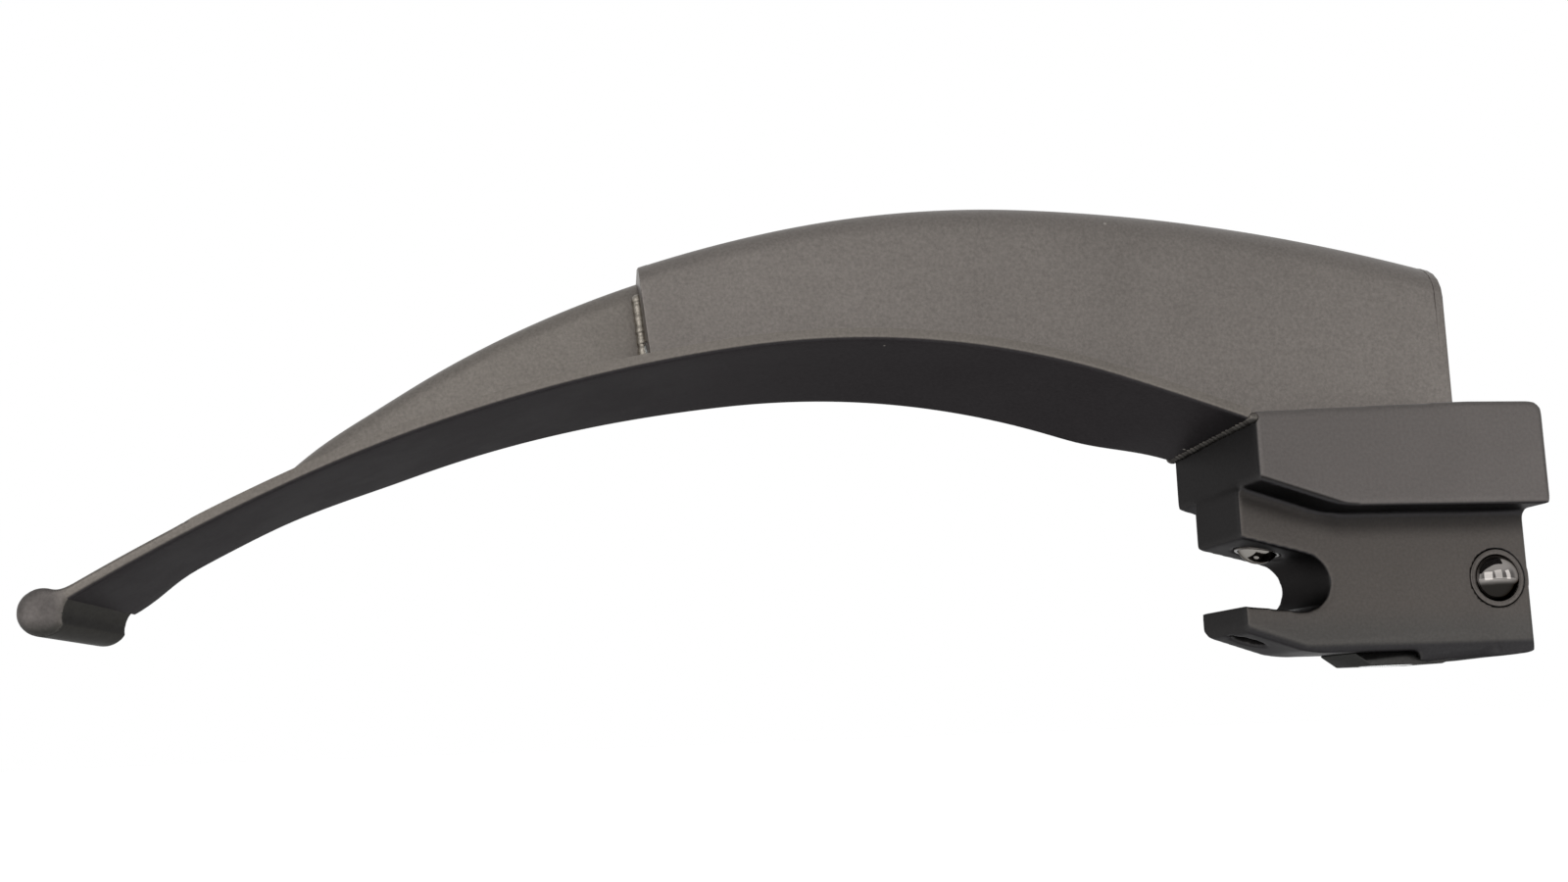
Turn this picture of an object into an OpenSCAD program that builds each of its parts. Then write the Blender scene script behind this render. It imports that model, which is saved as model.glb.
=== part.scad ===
// Curved fibre-lit laryngoscope blade of the Macintosh type, with its hook-on base.
// Millimetres, +Z up. The tip points along -X, the flange leans away along +Y.
// The origin is the axis of the hook seat, at the middle of the tang's width.

/* [Spatula] */
// Thickness of the spatula sheet
sheet_t = 0.95; // [0.8:0.05:1.2]
// Width of the spatula at the base
heel_w = 17.1; // [16.4:0.1:17.6]
// Width of the spatula near the tip
tip_w = 14.9; // [14:0.1:16]
// How much narrower the blade is at its waist, behind the tip
waist = 2.8; // [0:0.1:3]
// How far the web side sags below the free edge, at its lowest
sag = 1.75; // [0:0.05:2.2]
// Diameter of the bead across the tip
bead_d = 3.65; // [3.2:0.05:4.2]
// Length of that bead
bead_w = 14.0; // [13:0.1:14.9]

/* [Web and flange] */
// Thickness of the web and flange sheet
web_t = 1.2; // [0.9:0.1:1.5]
// Overhang of the flange beyond its bend, at the heel
flange_w = 6.5; // [3:0.5:8]
// Outer radius of the flange's bend at the heel
bend_r_heel = 3.8; // [2.5:0.1:4]
// Outer radius of the flange's bend at the tip end
bend_r_tip = 1.7; // [1.5:0.1:2.2]

/* [Light guide] */
// Depth of the cover in front of the web
cover_d = 4.6; // [4.4:0.1:5]
// Wall of the cover
cover_t = 0.7; // [0.5:0.05:0.8]
// Diameter of the fibre bundle
fibre_d = 2.6; // [2:0.1:2.8]
// Height of the fibre bundle above the spatula, at its front end
guide_h = 3.6; // [3:0.1:4.5]
// Length of the foot that the light enters through
foot_l = 9.4; // [8:0.1:9.5]
// Drop of that foot below the tang
foot_drop = 1.2; // [0.6:0.05:1.3]

/* [Base] */
// Right end of the base block
heel_x = 22.2; // [22:0.1:24]
// Height of the ledge under the block
ledge_z = 6.25; // [5.8:0.05:6.8]
// Width of the tang
tang_w = 9.0; // [8.6:0.1:9.4]
// Ledge between the block's near face and the tang
near_ledge = 3.9; // [3:0.1:4.2]
// Diameter of the hook seat
hook_d = 5.2; // [4.9:0.05:5.5]
// Height of the tang's underside
tang_z = -6.4; // [-6.8:0.1:-6.2]
// Height of the heel pad's underside, at its lowest
pad_z = -7.55; // [-7.8:0.05:-7.3]

/* [Catch balls] */
// Diameter of the side balls
side_ball_d = 4.5; // [4:0.1:4.6]
// Distance of the side balls from the hook axis
side_ball_x = 18.96; // [18:0.01:19.2]
// Outer diameter of the side ball sleeves
sleeve_d = 5.3; // [5.2:0.1:6]
// Opening in the face of a side ball sleeve
lip_d = 4.2; // [3.6:0.1:4.3]
// Diameter of the ball in the hook slot
hook_ball_d = 4.0; // [3.6:0.1:4.1]
// Opening that the hook ball looks out of
collar_lip_d = 3.45; // [3.2:0.05:3.5]

/* [Hidden] */
$fn = 64;

steel = [0.42, 0.41, 0.40];
bright = [0.72, 0.72, 0.72];
weld_grey = [0.36, 0.35, 0.34];
glass = [0.80, 0.86, 0.88];
eps = 0.01;          // overlap that keeps cuts clean
play = 0.04;         // running clearance round a ball or in its seat

// The near face is at -Y, the far face at +Y
near_y = -near_ledge - tang_w / 2;
far_y = near_y + heel_w;

// ---------- Curves of the blade ----------
// A run of tangent arcs, each [where it ends in x, radius], followed towards the tip.
// Each becomes a step [x from, x to, centre x, centre z, radius].
function arc_slope(step, x) = -asin((x - step[2]) / step[4]);
function arc_z(step, x) = step[3] + sqrt(pow(step[4], 2) - pow(x - step[2], 2));
function arc_steps(x, z, slope, arcs, i = 0) =
    i == len(arcs) ? [] :
    let (end = arcs[i][0],
         r = arcs[i][1],
         step = [x, end, x + r * sin(slope), z - r * cos(slope), r])
    concat([step], arc_steps(end, arc_z(step, end), arc_slope(step, end), arcs, i + 1));
function step_at(steps, x, i = 0) =
    i == len(steps) - 1 || x >= steps[i][1] ? steps[i] : step_at(steps, x, i + 1);
function run_z(steps, x) = arc_z(step_at(steps, x), x);
function run_slope(steps, x) = arc_slope(step_at(steps, x), x);

// Underside of the spatula along its free edge, from the base to the tip
front_x = -5.4;
edge_z = 13.83;
edge_run = arc_steps(front_x, edge_z, -19.5,
                     [[-17, 362], [-50.5, 74], [-72, 132.2], [-86, 124.4], [-104, 172.6]]);
// Top of the flange, from the heel to the tip
crest_run = arc_steps(21.2, 32.83, -14.1, [[-21, 183.3], [-59.6, 100.7], [-84, 109.8], [-100, 39.3]]);

tip_x = -103.6;      // where the spatula runs into the bead
web_tip_x = -95;     // where the web runs out
cover_x = -57;       // front end of the light guide's cover
cover_end_x = heel_x - 0.8;

// Straight blend of two values, and evenly spaced values from a to b
function mix(a, b, t) = a + (b - a) * t;
function spread(a, b, count) = [for (i = [0:count]) mix(a, b, i / count)];
// Smooth ramp from 0 to 1 as x goes from a to b
function ramp(x, a, b) = (1 - cos(180 * max(0, min(1, (x - a) / (b - a))))) / 2;

// The blade widens towards the base, and has a waist between its web's end and the tip
function blade_w(x) = mix(tip_w, heel_w, ramp(x, -82, -45)) - waist * (ramp(-x, 79, 91) - ramp(-x, 97, 102));
function back_y(x) = near_y + blade_w(x);
function far_sag(x) = sag * ramp(x, -96, -14) * (1 - 0.82 * ramp(x, -17, front_x));

// A point of the spatula: station x, distance back from the far edge, height up
function sheet_pt(x, back, up) =
    let (a = run_slope(edge_run, x), v = max(0, 1 - back / blade_w(x)))
    [x - up * sin(a), back_y(x) - back, run_z(edge_run, x) + up * cos(a) - far_sag(x) * pow(v, 1.4)];

// The block's top rises a little towards the heel, then runs level
top_front_z = 14.8;
top_heel_z = 15.65;
top_level_x = 15;
function block_top(x) = mix(top_front_z, top_heel_z, min(1, (x - front_x) / (top_level_x - front_x)));

// Foot of the web or cover: on the spatula's top, then on the base block's top
function foot_pt(x, back) = x < front_x ? sheet_pt(x, back, sheet_t) : [x, far_y - back, block_top(x)];
// The crest stands over the foot, and leans a little towards the tip
function crest_x(x) = foot_pt(x, 0)[0] - 1.3 * ramp(-x, 5, 45);
function crest_z(x) = max(run_z(crest_run, crest_x(x)), foot_pt(x, 0)[2] + bend_r(x) + 0.3);
function bend_r(x) = mix(bend_r_tip, bend_r_heel, ramp(x, -100, 22));
function overhang(x) = 0.4 + flange_w * ramp(x, -104, -55);
// A point at station x, depth y and height z, on the leaning line from foot to crest
function lean_pt(x, y, z) =
    let (foot = foot_pt(x, 0), t = (z - foot[2]) / (crest_z(x) - foot[2]))
    [mix(foot[0], crest_x(x), t), y, z];

// ---------- Solids through rings of points ----------
// Each ring runs clockwise as seen when looking along the solid. A ring goes out along one
// side of a sheet and back along the other, so its ends are closed strip by strip.
module loft(rings) {
    n = len(rings[0]);
    last = (len(rings) - 1) * n;
    sides = [for (i = [0:len(rings) - 2]) for (j = [0:n - 1])
        let (a = i * n + j, b = i * n + (j + 1) % n)
        each [[a, a + n, b + n], [a, b + n, b]]];
    strips = [for (j = [0:floor(n / 2) - 2]) each [[j, j + 1, n - 1 - j], [j + 1, n - 2 - j, n - 1 - j]]];
    tip = n % 2 == 1 ? [[(n - 3) / 2, (n - 1) / 2, (n + 1) / 2]] : [];
    start = concat(strips, tip);
    end = [for (f = start) [last + f[2], last + f[1], last + f[0]]];
    polyhedron(points = [for (ring = rings) each ring], faces = concat(sides, start, end), convexity = 10);
}
// A round bar along a path; ref is a direction that the path never takes
module bar(path, r, ref, sides = 10) {
    last = len(path) - 1;
    function unit(v) = v / norm(v);
    loft([for (i = [0:last])
        let (t = unit(path[min(i + 1, last)] - path[max(i - 1, 0)]),
             u = unit(cross(ref, t)),
             w = cross(t, u))
        [for (k = [0:sides - 1])
            let (a = 360 * k / sides) path[i] + r * (cos(a) * u + sin(a) * w)]]);
}
function helix(r, len_z, turns, steps) =
    [for (i = [0:turns * steps])
        [r * cos(360 * i / steps), r * sin(360 * i / steps), len_z * i / (turns * steps)]];

// ---------- Blade ----------
// Its section between two heights over the underside
function sheet_ring(x, low, high) =
    let (w = blade_w(x), back = [w, 0.75 * w, 0.55 * w, web_t + cover_d, web_t, 0])
    concat([for (b = back) sheet_pt(x, b, low)],
           [for (i = [len(back) - 1:-1:0]) sheet_pt(x, back[i], high)]);
// The sheet ends square against the block's front
module spatula() {
    over = 0.6;
    stations = concat(spread(tip_x, cover_x, 30),
                      [for (x = spread(cover_x, front_x, 30)) if (x > cover_x) x],
                      [front_x + over]);
    color(steel)
        difference() {
            loft([for (x = stations) sheet_ring(x, 0, sheet_t)]);
            translate([front_x, near_y - 1, 0]) cube([2 * over + 1, heel_w + 2, 2 * edge_z]);
        }
}

bead_x = -104.85;
bead_z = -0.38;
// Round bar with softened ends, notched where the spatula's end is welded in
module tip_bead() {
    soft = 0.9;
    r = bead_d / 2;
    flat_w = bead_w - 2 * soft;
    color(steel)
        difference() {
            translate([bead_x, near_y + bead_w / 2, bead_z])
                rotate([90, 0, 0])
                    union() {
                        cylinder(r = r - soft, h = bead_w, center = true);
                        cylinder(r = r, h = flat_w, center = true);
                        for (s = [-1, 1])
                            translate([0, 0, s * flat_w / 2])
                                rotate_extrude()
                                    translate([r - soft, 0])
                                        circle(r = soft, $fn = 32);
                    }
            loft([for (x = [tip_x, tip_x + 2, tip_x + 4])
                [for (c = [[tip_w + 1, 0], [-1, 0], [-1, sheet_t], [tip_w + 1, sheet_t]]) sheet_pt(x, c[0], c[1])]]);
        }
}

// One bent sheet: up the web, over the bend and out along the flange
module web_flange() {
    stations = concat(spread(web_tip_x, cover_x, 24),
                      [for (x = spread(cover_x, front_x, 24)) if (x > cover_x && x < front_x - 0.5) x],
                      [front_x],
                      [for (x = spread(front_x, cover_end_x, 8)) if (x > front_x) x]);
    color(steel) loft([for (x = stations) web_ring(x)]);
}
// Its section, clockwise: outer face up, inner bend, flange, outer bend, near face down
function web_ring(x) =
    let (r = bend_r(x), top = crest_z(x), y0 = back_y(x) - web_t + r, tip_y = y0 + overhang(x), in_r = r - web_t)
    concat([foot_pt(x, 0)],
           [for (a = [180:-15:90]) lean_pt(x, y0 + in_r * cos(a), top - r + in_r * sin(a))],
           [lean_pt(x, tip_y, top - web_t), lean_pt(x, tip_y + web_t / 3, top - web_t / 2), lean_pt(x, tip_y, top)],
           web_bend(x, 90),
           [foot_pt(x, web_t)]);
// Outer line of the bend, from the flange down to the web
function web_bend(x, from) =
    let (r = bend_r(x), y0 = back_y(x) - web_t + r)
    [for (a = [from:15:180]) lean_pt(x, y0 + r * cos(a), crest_z(x) - r + r * sin(a))];

// ---------- Light guide ----------
// Pressed cover, open towards the web and the spatula, with a plate let in at each end
plate_t = 0.9;
module light_housing() {
    from_x = cover_x + plate_t;
    to_x = cover_end_x - plate_t;
    stations = concat([from_x], [for (x = spread(cover_x, front_x, 24)) if (x > from_x && x < front_x - 0.5) x],
                      [front_x],
                      [for (x = spread(front_x, cover_end_x, 8)) if (x > front_x && x < to_x) x],
                      [to_x]);
    color(steel) loft([for (x = stations) cover_ring(x)]);
}
module exit_plate() {
    color(steel)
        difference() {
            loft([for (x = [cover_x, cover_x + plate_t]) plate_ring(x)]);
            exit_bore();
        }
}
module heel_plate() {
    color(steel) loft([for (x = [cover_end_x - plate_t, cover_end_x]) plate_ring(x)]);
}
function cover_y(x) = back_y(x) - web_t - cover_d;
// Near side of the cover: along the top, round the shoulder and down to the foot
function cover_face(x) =
    let (r = bend_r(x), top = crest_z(x))
    concat([for (a = [90:15:180]) lean_pt(x, cover_y(x) + r + r * cos(a), top - r + r * sin(a))],
           [foot_pt(x, web_t + cover_d)]);
function cover_ring(x) =
    let (r = bend_r(x), top = crest_z(x), in_r = r - cover_t, y0 = cover_y(x) + r, web_y0 = back_y(x) - web_t + r,
         rest = asin(1 - cover_t / r))
    concat([foot_pt(x, web_t + cover_d - cover_t)],
           [for (a = [180:-15:90]) lean_pt(x, y0 + in_r * cos(a), top - r + in_r * sin(a))],
           [lean_pt(x, web_y0 - r * cos(rest), top - cover_t)],
           [for (a = [120:-15:90]) lean_pt(x, web_y0 + r * cos(a), top - r + r * sin(a))],
           cover_face(x));
function plate_ring(x) =
    let (up = web_bend(x, 90))
    concat([foot_pt(x, web_t)], [for (i = [len(up) - 1:-1:0]) up[i]], cover_face(x));

// The light leaves through the front plate, along the blade
guide_back = web_t + (cover_d - cover_t) / 2;
module at_exit() {
    translate(sheet_pt(cover_x, guide_back, sheet_t + guide_h))
        rotate([0, 90 - run_slope(edge_run, cover_x), 0])
            children();
}
module exit_bore() {
    at_exit() cylinder(d = fibre_d + 0.8, h = 6, center = true);
}
window_t = 0.5;
ferrule_l = 2.6;
module exit_ferrule() {
    inset = 0.25;
    color(bright)
        at_exit()
            difference() {
                translate([0, 0, inset]) cylinder(d = fibre_d + 0.7, h = ferrule_l - inset);
                cylinder(d = fibre_d, h = 2 * ferrule_l);
            }
}
module exit_window() {
    color(glass) at_exit() translate([0, 0, 0.2]) cylinder(d = fibre_d, h = window_t - 0.2);
}

// Course of the fibres: up through the base, over into the cover, along to the exit
entry_x = 10;
foot_z = tang_z - foot_drop;
guide_y = far_y - guide_back;
function guide_rise(x) = sheet_t + mix(guide_h, guide_h + 4, ramp(x, -50, front_x));
function fibre_path() =
    let (along = [for (x = spread(cover_x, front_x - 1, 17)) sheet_pt(x, guide_back, guide_rise(x))],
         out = run_slope(edge_run, cover_x))
    concat([for (t = [window_t, ferrule_l + 0.1]) along[0] + t * [cos(out), 0, sin(out)]],
           [for (i = [2:len(along) - 1]) along[i]],
           curve_through([along[len(along) - 1], [1, guide_y, 21.2], [6, guide_y, 20], [9, guide_y, 17.3],
                          [entry_x, guide_y - 0.9, 14], [entry_x, 2.4, 10], [entry_x, 0.5, 6.7], [entry_x, 0, 3]]),
           [[entry_x, 0, -2], [entry_x, 0, foot_z + entry_t]]);
// Smooth curve through points, without the first, three short steps to each gap
function curve_through(p) =
    [for (i = [0:len(p) - 2]) for (t = [1/3, 2/3, 1])
        let (a = p[max(i - 1, 0)], b = p[i], c = p[i + 1], d = p[min(i + 2, len(p) - 1)])
        b + (c - a) * t / 2 + (2 * a - 5 * b + 4 * c - d) * t * t / 2 + (3 * b - a - 3 * c + d) * t * t * t / 2];
module fibre_bundle() {
    color(glass) bar(fibre_path(), fibre_d / 2 - play, [0, 1, 0.02]);
}

// Foot and spigot that hold the entry end of the fibres
foot_w = 6;
spigot_d = 5.4;
spigot_h = 3;
entry_d = 4.6;
entry_t = 0.8;
module entry_ferrule() {
    ramp_l = 1.5;
    end_l = 0.9;
    color(bright)
        difference() {
            union() {
                translate([entry_x, foot_w / 2, 0])
                    rotate([90, 0, 0])
                        linear_extrude(foot_w)
                            polygon([[-foot_l / 2, tang_z], [-foot_l / 2, tang_z - 0.15],
                                     [-foot_l / 2 + ramp_l, foot_z], [foot_l / 2 - end_l, foot_z],
                                     [foot_l / 2, foot_z + 0.3], [foot_l / 2, tang_z]]);
                translate([entry_x, 0, tang_z - eps]) cylinder(d = spigot_d, h = spigot_h);
            }
            translate([entry_x, 0, foot_z - 1]) cylinder(d = fibre_d, h = 9);
            translate([entry_x, 0, foot_z - 1]) cylinder(d = entry_d, h = 1 + entry_t);
        }
}
module entry_window() {
    color(glass) translate([entry_x, 0, foot_z]) cylinder(d = entry_d, h = entry_t);
}

// ---------- Base ----------
mouth_up = 14.5;     // slope of the hook mouth's roof
mouth_down = 6.5;    // slope of its lower lip
jaw_x = -5.6;        // front end of the tang

// Block and tang in one piece, bored for the light guide and the catch balls
module base_block() {
    color(steel)
        difference() {
            union() {
                block_body();
                tang_body();
                ledge_fillet();
            }
            hook_slot();
            foot_slot();
            for (s = [0, 1])
                mirror([0, s, 0]) foot_edges();
            side_ball_bore();
            at_hook_ball() hook_ball_bore();
            light_bores();
        }
}
module flat_part(width, y_from) {
    translate([0, y_from + width, 0]) rotate([90, 0, 0]) linear_extrude(width) children();
}
// Upper block: a level ledge that rises towards the front, and a rounded top heel corner
rise_x = 3.6;
module block_body() {
    corner_r = 1.2;
    rise_r = 9;
    rise_slope = 18;
    front_ledge_z = ledge_z + (rise_x - front_x - rise_r * tan(rise_slope / 2)) * tan(rise_slope);
    flat_part(heel_w, near_y)
        polygon(concat([[front_x, front_ledge_z]],
                       [for (a = [rise_slope:-3:0]) [rise_x - rise_r * sin(a), ledge_z + rise_r * (1 - cos(a))]],
                       [[heel_x, ledge_z]],
                       [for (a = [0:15:90])
                           [heel_x - corner_r + corner_r * cos(a), top_heel_z - corner_r + corner_r * sin(a)]],
                       [[top_level_x, top_heel_z], [front_x, top_front_z]]));
}
// Tang: upper jaw, hook, lower jaw with its sloping chin, and the heel pad, which rises to the right
pad_x = 11.2;
pad_low_x = 14;
pad_end_z = -6.9;
module tang_body() {
    flat_part(tang_w, -tang_w / 2)
        polygon([[jaw_x, ledge_z + 2.2], [jaw_x, -3.7], [jaw_x + 0.25, -4.35], [0, tang_z + 0.25], [1.8, tang_z],
                 [pad_x, tang_z], [pad_x, pad_z + 0.25], [pad_x + 0.7, pad_z], [pad_low_x, pad_z],
                 [heel_x - 0.3, pad_end_z], [heel_x, pad_end_z + 0.25],
                 [heel_x, ledge_z + eps], [rise_x, ledge_z + eps], [rise_x, ledge_z + 2.2]]);
}
// The pad is open in the middle, where the foot of the light guide lies
module foot_slot() {
    gap = 0.1;
    end = entry_x + foot_l / 2 + gap;
    translate([pad_x - 1, -foot_w / 2 - gap, tang_z - 4]) cube([end - pad_x + 1, foot_w + 2 * gap, 4]);
}
module side_ball_bore() {
    edge = 0.2;
    translate([side_ball_x, 0, 0])
        rotate([90, 0, 0]) {
            cylinder(d = sleeve_d, h = tang_w + 2, center = true);
            for (s = [0, 1])
                mirror([0, 0, s])
                    translate([0, 0, tang_w / 2 - edge])
                        cylinder(d1 = sleeve_d, d2 = sleeve_d + 4 * edge, h = 2 * edge);
        }
}
// Bore of the hook ball, and the narrower hole below it through the lower jaw
module hook_ball_bore() {
    lower_d = 3;
    translate([0, 0, -3]) cylinder(d = hook_ball_d + 2 * play, h = 3 + hook_bore);
    translate([0, 0, -12]) cylinder(d = lower_d, h = 12);
}
module hook_slot() {
    r = hook_d / 2;
    out = 3;
    rotate([90, 0, 0]) {
        cylinder(r = r, h = tang_w + 2, center = true);
        linear_extrude(tang_w + 2, center = true)
            polygon([[0, 0], [r * sin(mouth_up), r * cos(mouth_up)],
                     [jaw_x - out, r / cos(mouth_up) - (jaw_x - out) * tan(mouth_up)],
                     [jaw_x - out, -r / cos(mouth_down) - (jaw_x - out) * tan(mouth_down)],
                     [-r * sin(mouth_down), -r * cos(mouth_down)]]);
    }
}
// Small concave fillets where the tang's sides meet the ledge
module ledge_fillet() {
    r = 0.8;
    for (s = [0, 1])
        mirror([0, s, 0])
            translate([rise_x, tang_w / 2, ledge_z])
                difference() {
                    translate([0, -eps, -r]) cube([heel_x - rise_x, r + eps, r + eps]);
                    translate([-1, r, -r]) rotate([0, 90, 0]) cylinder(r = r, h = heel_x);
                }
}
// Lower edge of the tang's near side: stepped back under a shallow curve, then rounded
edge_step = 0.2;
scallop_end_x = 18.3;
module foot_edges() {
    pad_rise = atan((pad_end_z - pad_z) / (heel_x - pad_low_x));
    scallop();
    edge_cut(-6.5, -0.2, tang_z + 0.28, 0.5, -18.5);
    edge_cut(-0.3, pad_x, tang_z, 0.6, 0);
    edge_cut(pad_x - 0.5, scallop_end_x, pad_z + (scallop_end_x - pad_low_x) * tan(pad_rise), 1.8, pad_rise);
}
module scallop() {
    chin = 18.5;
    chin_r = 6;
    chin_x = 0.3;
    top_z = -5.6;
    end_r = 1.7;
    end_z = -6.85;
    translate([0, -tang_w / 2 + edge_step, 0])
        rotate([90, 0, 0])
            linear_extrude(2)
                polygon(concat([[-7, -3.5]],
                               [for (a = [chin:-chin / 3:0])
                                   [chin_x - chin_r * sin(a), top_z + chin_r * (1 - cos(a))]],
                               [[3, top_z]],
                               [for (a = [93:-15.5:0])
                                   [scallop_end_x - end_r + end_r * cos(a), end_z + end_r * sin(a)]],
                               [[scallop_end_x, -9], [-7, -9]]));
}
// Rounds the stepped edge between two stations, along a bottom that rises by slope
module edge_cut(x_from, x_to, bottom, r, slope) {
    length = (x_to - x_from) / cos(slope);
    translate([x_to, -tang_w / 2, bottom])
        rotate([0, -slope, 0])
            difference() {
                translate([-length, -1, -1]) cube([length, 1 + edge_step + r, 1 + r]);
                translate([-length - 1, edge_step + r, r]) rotate([0, 90, 0]) cylinder(r = r, h = length + 2);
            }
}
module light_bores() {
    bore_d = 4.2;
    wide_d = 4.8;
    bend_z = 6;
    tilt = atan((guide_y + 0.1) / (top_heel_z - bend_z));
    translate([entry_x, 0, tang_z - 2]) cylinder(d = bore_d, h = bend_z + 1.5 - tang_z + 2);
    translate([entry_x, 0, tang_z - 2]) cylinder(d = spigot_d, h = spigot_h + 2);
    translate([entry_x, 0, bend_z]) rotate([-tilt, 0, 0]) translate([0, 0, -0.8]) cylinder(d = wide_d, h = 16);
}

// Weld in the corner under the spatula, against the block's front face
module heel_weld() {
    ripple_r = 0.95;
    uneven = 0.12;
    count = 13;
    inset = ripple_r / 2;
    color(weld_grey)
        difference() {
            for (i = [0:count])
                translate(sheet_pt(front_x, mix(heel_w - inset, inset, i / count), 0)
                          + [0.1, 0, 0.1 + uneven * sin(i * 140)])
                    sphere(r = ripple_r + uneven * sin(i * 230), $fn = 24);
            translate([front_x, near_y - 2, edge_z - 5]) cube([5, heel_w + 4, 10]);
            loft([for (x = [front_x - 4, front_x - 2, front_x, front_x + 2]) sheet_ring(x, 0, 4)]);
        }
}
// Weld up the web, in the corner at the front end of the cover
module housing_weld() {
    count = 9;
    ripple_r = 0.72;
    uneven = 0.06;
    foot = foot_pt(cover_x, web_t);
    run = crest_z(cover_x) - bend_r(cover_x) - foot[2];
    lean = atan((foot[0] - crest_x(cover_x)) / (crest_z(cover_x) - foot[2]));
    color(weld_grey)
        difference() {
            translate(foot)
                rotate([0, -lean, 0])
                    difference() {
                        for (i = [0:count - 1])
                            translate([0, 0, (i + 0.8) * run / count])
                                sphere(r = ripple_r + uneven * sin(i * 130), $fn = 20);
                        translate([0, -5, -5]) cube([5, 10, run + 10]);
                    }
            web_flange();
            spatula();
            exit_bore();
        }
}

// ---------- Catch balls ----------
// Depth of a ball's centre behind an opening that stops it
function seat_depth(ball_d, opening) = sqrt(pow(ball_d / 2, 2) - pow(opening / 2, 2));
side_seat = seat_depth(side_ball_d + play, lip_d);
side_centre_y = tang_w / 2 - side_seat;
hook_seat_in = seat_depth(hook_ball_d + play, collar_lip_d);

module side_sleeve(s) {
    color(bright)
        translate([side_ball_x, 0, 0])
            rotate([90 * s, 0, 0])
                difference() {
                    cylinder(d = sleeve_d, h = tang_w / 2);
                    translate([0, 0, -1]) cylinder(d = side_ball_d + 2 * play, h = 1 + side_centre_y);
                    translate([0, 0, side_centre_y]) sphere(d = side_ball_d + 2 * play);
                }
}
module side_ball(s) {
    color(bright) translate([side_ball_x, s * side_centre_y, 0]) sphere(d = side_ball_d);
}
module near_ball_sleeve() { side_sleeve(1); }
module far_ball_sleeve() { side_sleeve(-1); }
module near_ball() { side_ball(-1); }
module far_ball() { side_ball(1); }
module side_spring() {
    length = 3.0;
    color(bright)
        translate([side_ball_x, length / 2, 0])
            rotate([90, 0, 0])
                bar(helix(1.35, length, 3, 14), 0.15, [0, 0, 1], 6);
}

// The hook ball slides square to the roof of the hook slot
hook_tilt = 11;
hook_ball_x = -1.85;
hook_bore = 8;
module at_hook_ball() {
    translate([hook_ball_x, 0, hook_d / 2 / cos(mouth_up) - hook_ball_x * tan(mouth_up)])
        rotate([0, hook_tilt, 0])
            children();
}
module hook_ball() {
    color(bright) at_hook_ball() translate([0, 0, hook_seat_in]) sphere(d = hook_ball_d);
}
module hook_ball_collar() {
    color(bright)
        at_hook_ball()
            difference() {
                translate([0, 0, 0.05]) cylinder(d = hook_ball_d + 2 * play, h = 0.5);
                translate([0, 0, hook_seat_in]) sphere(d = hook_ball_d + play);
            }
}
module hook_spring() {
    seat = hook_seat_in + hook_ball_d / 2 - 0.35;
    color(bright)
        at_hook_ball()
            translate([0, 0, seat])
                bar(helix(1.35, hook_bore - seat - 0.2, 5, 14), 0.16, [0, 0, 1], 6);
}

base_block();
spatula();
tip_bead();
web_flange();
light_housing();
exit_plate();
heel_plate();
housing_weld();
heel_weld();
fibre_bundle();
exit_ferrule();
exit_window();
entry_ferrule();
entry_window();
near_ball_sleeve();
far_ball_sleeve();
near_ball();
far_ball();
side_spring();
hook_ball();
hook_ball_collar();
hook_spring();
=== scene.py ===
"""Looks of a curved fibre-lit laryngoscope blade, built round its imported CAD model."""
import math
import bmesh
import bpy
from mathutils import Matrix, Vector


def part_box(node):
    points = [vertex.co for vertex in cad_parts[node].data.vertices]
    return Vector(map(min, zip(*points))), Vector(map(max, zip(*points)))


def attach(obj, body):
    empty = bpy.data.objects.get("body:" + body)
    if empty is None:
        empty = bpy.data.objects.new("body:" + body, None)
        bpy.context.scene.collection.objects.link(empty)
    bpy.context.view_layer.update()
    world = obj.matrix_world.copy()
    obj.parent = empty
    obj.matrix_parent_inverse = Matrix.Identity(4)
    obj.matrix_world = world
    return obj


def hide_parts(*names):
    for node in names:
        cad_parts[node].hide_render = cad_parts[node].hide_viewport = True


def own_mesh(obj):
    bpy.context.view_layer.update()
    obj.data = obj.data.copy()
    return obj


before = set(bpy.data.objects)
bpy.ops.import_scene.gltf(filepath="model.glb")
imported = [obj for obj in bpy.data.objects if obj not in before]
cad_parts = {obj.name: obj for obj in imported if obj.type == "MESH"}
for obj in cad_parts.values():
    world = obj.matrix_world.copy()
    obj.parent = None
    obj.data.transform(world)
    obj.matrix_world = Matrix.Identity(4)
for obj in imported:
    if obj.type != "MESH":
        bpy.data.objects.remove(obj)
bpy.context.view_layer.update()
MM = 0.001
NOISE, VORONOI = "ShaderNodeTexNoise", "ShaderNodeTexVoronoi"
MIX, RANGE, MATH = "ShaderNodeMix", "ShaderNodeMapRange", "ShaderNodeMath"
VECTOR_MATH, XYZ, MAPPING = "ShaderNodeVectorMath", "ShaderNodeSeparateXYZ", "ShaderNodeMapping"
SMOOTH = {"interpolation_type": "SMOOTHSTEP"}
COLOUR = {"data_type": "RGBA"}


def linear(hex_colour):
    """An sRGB hex colour as the linear RGBA that shaders take."""
    channels = [int(hex_colour[i:i + 2], 16) / 255 for i in (0, 2, 4)]
    return [c / 12.92 if c <= 0.04045 else ((c + 0.055) / 1.055) ** 2.4 for c in channels] + [1.0]


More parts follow.
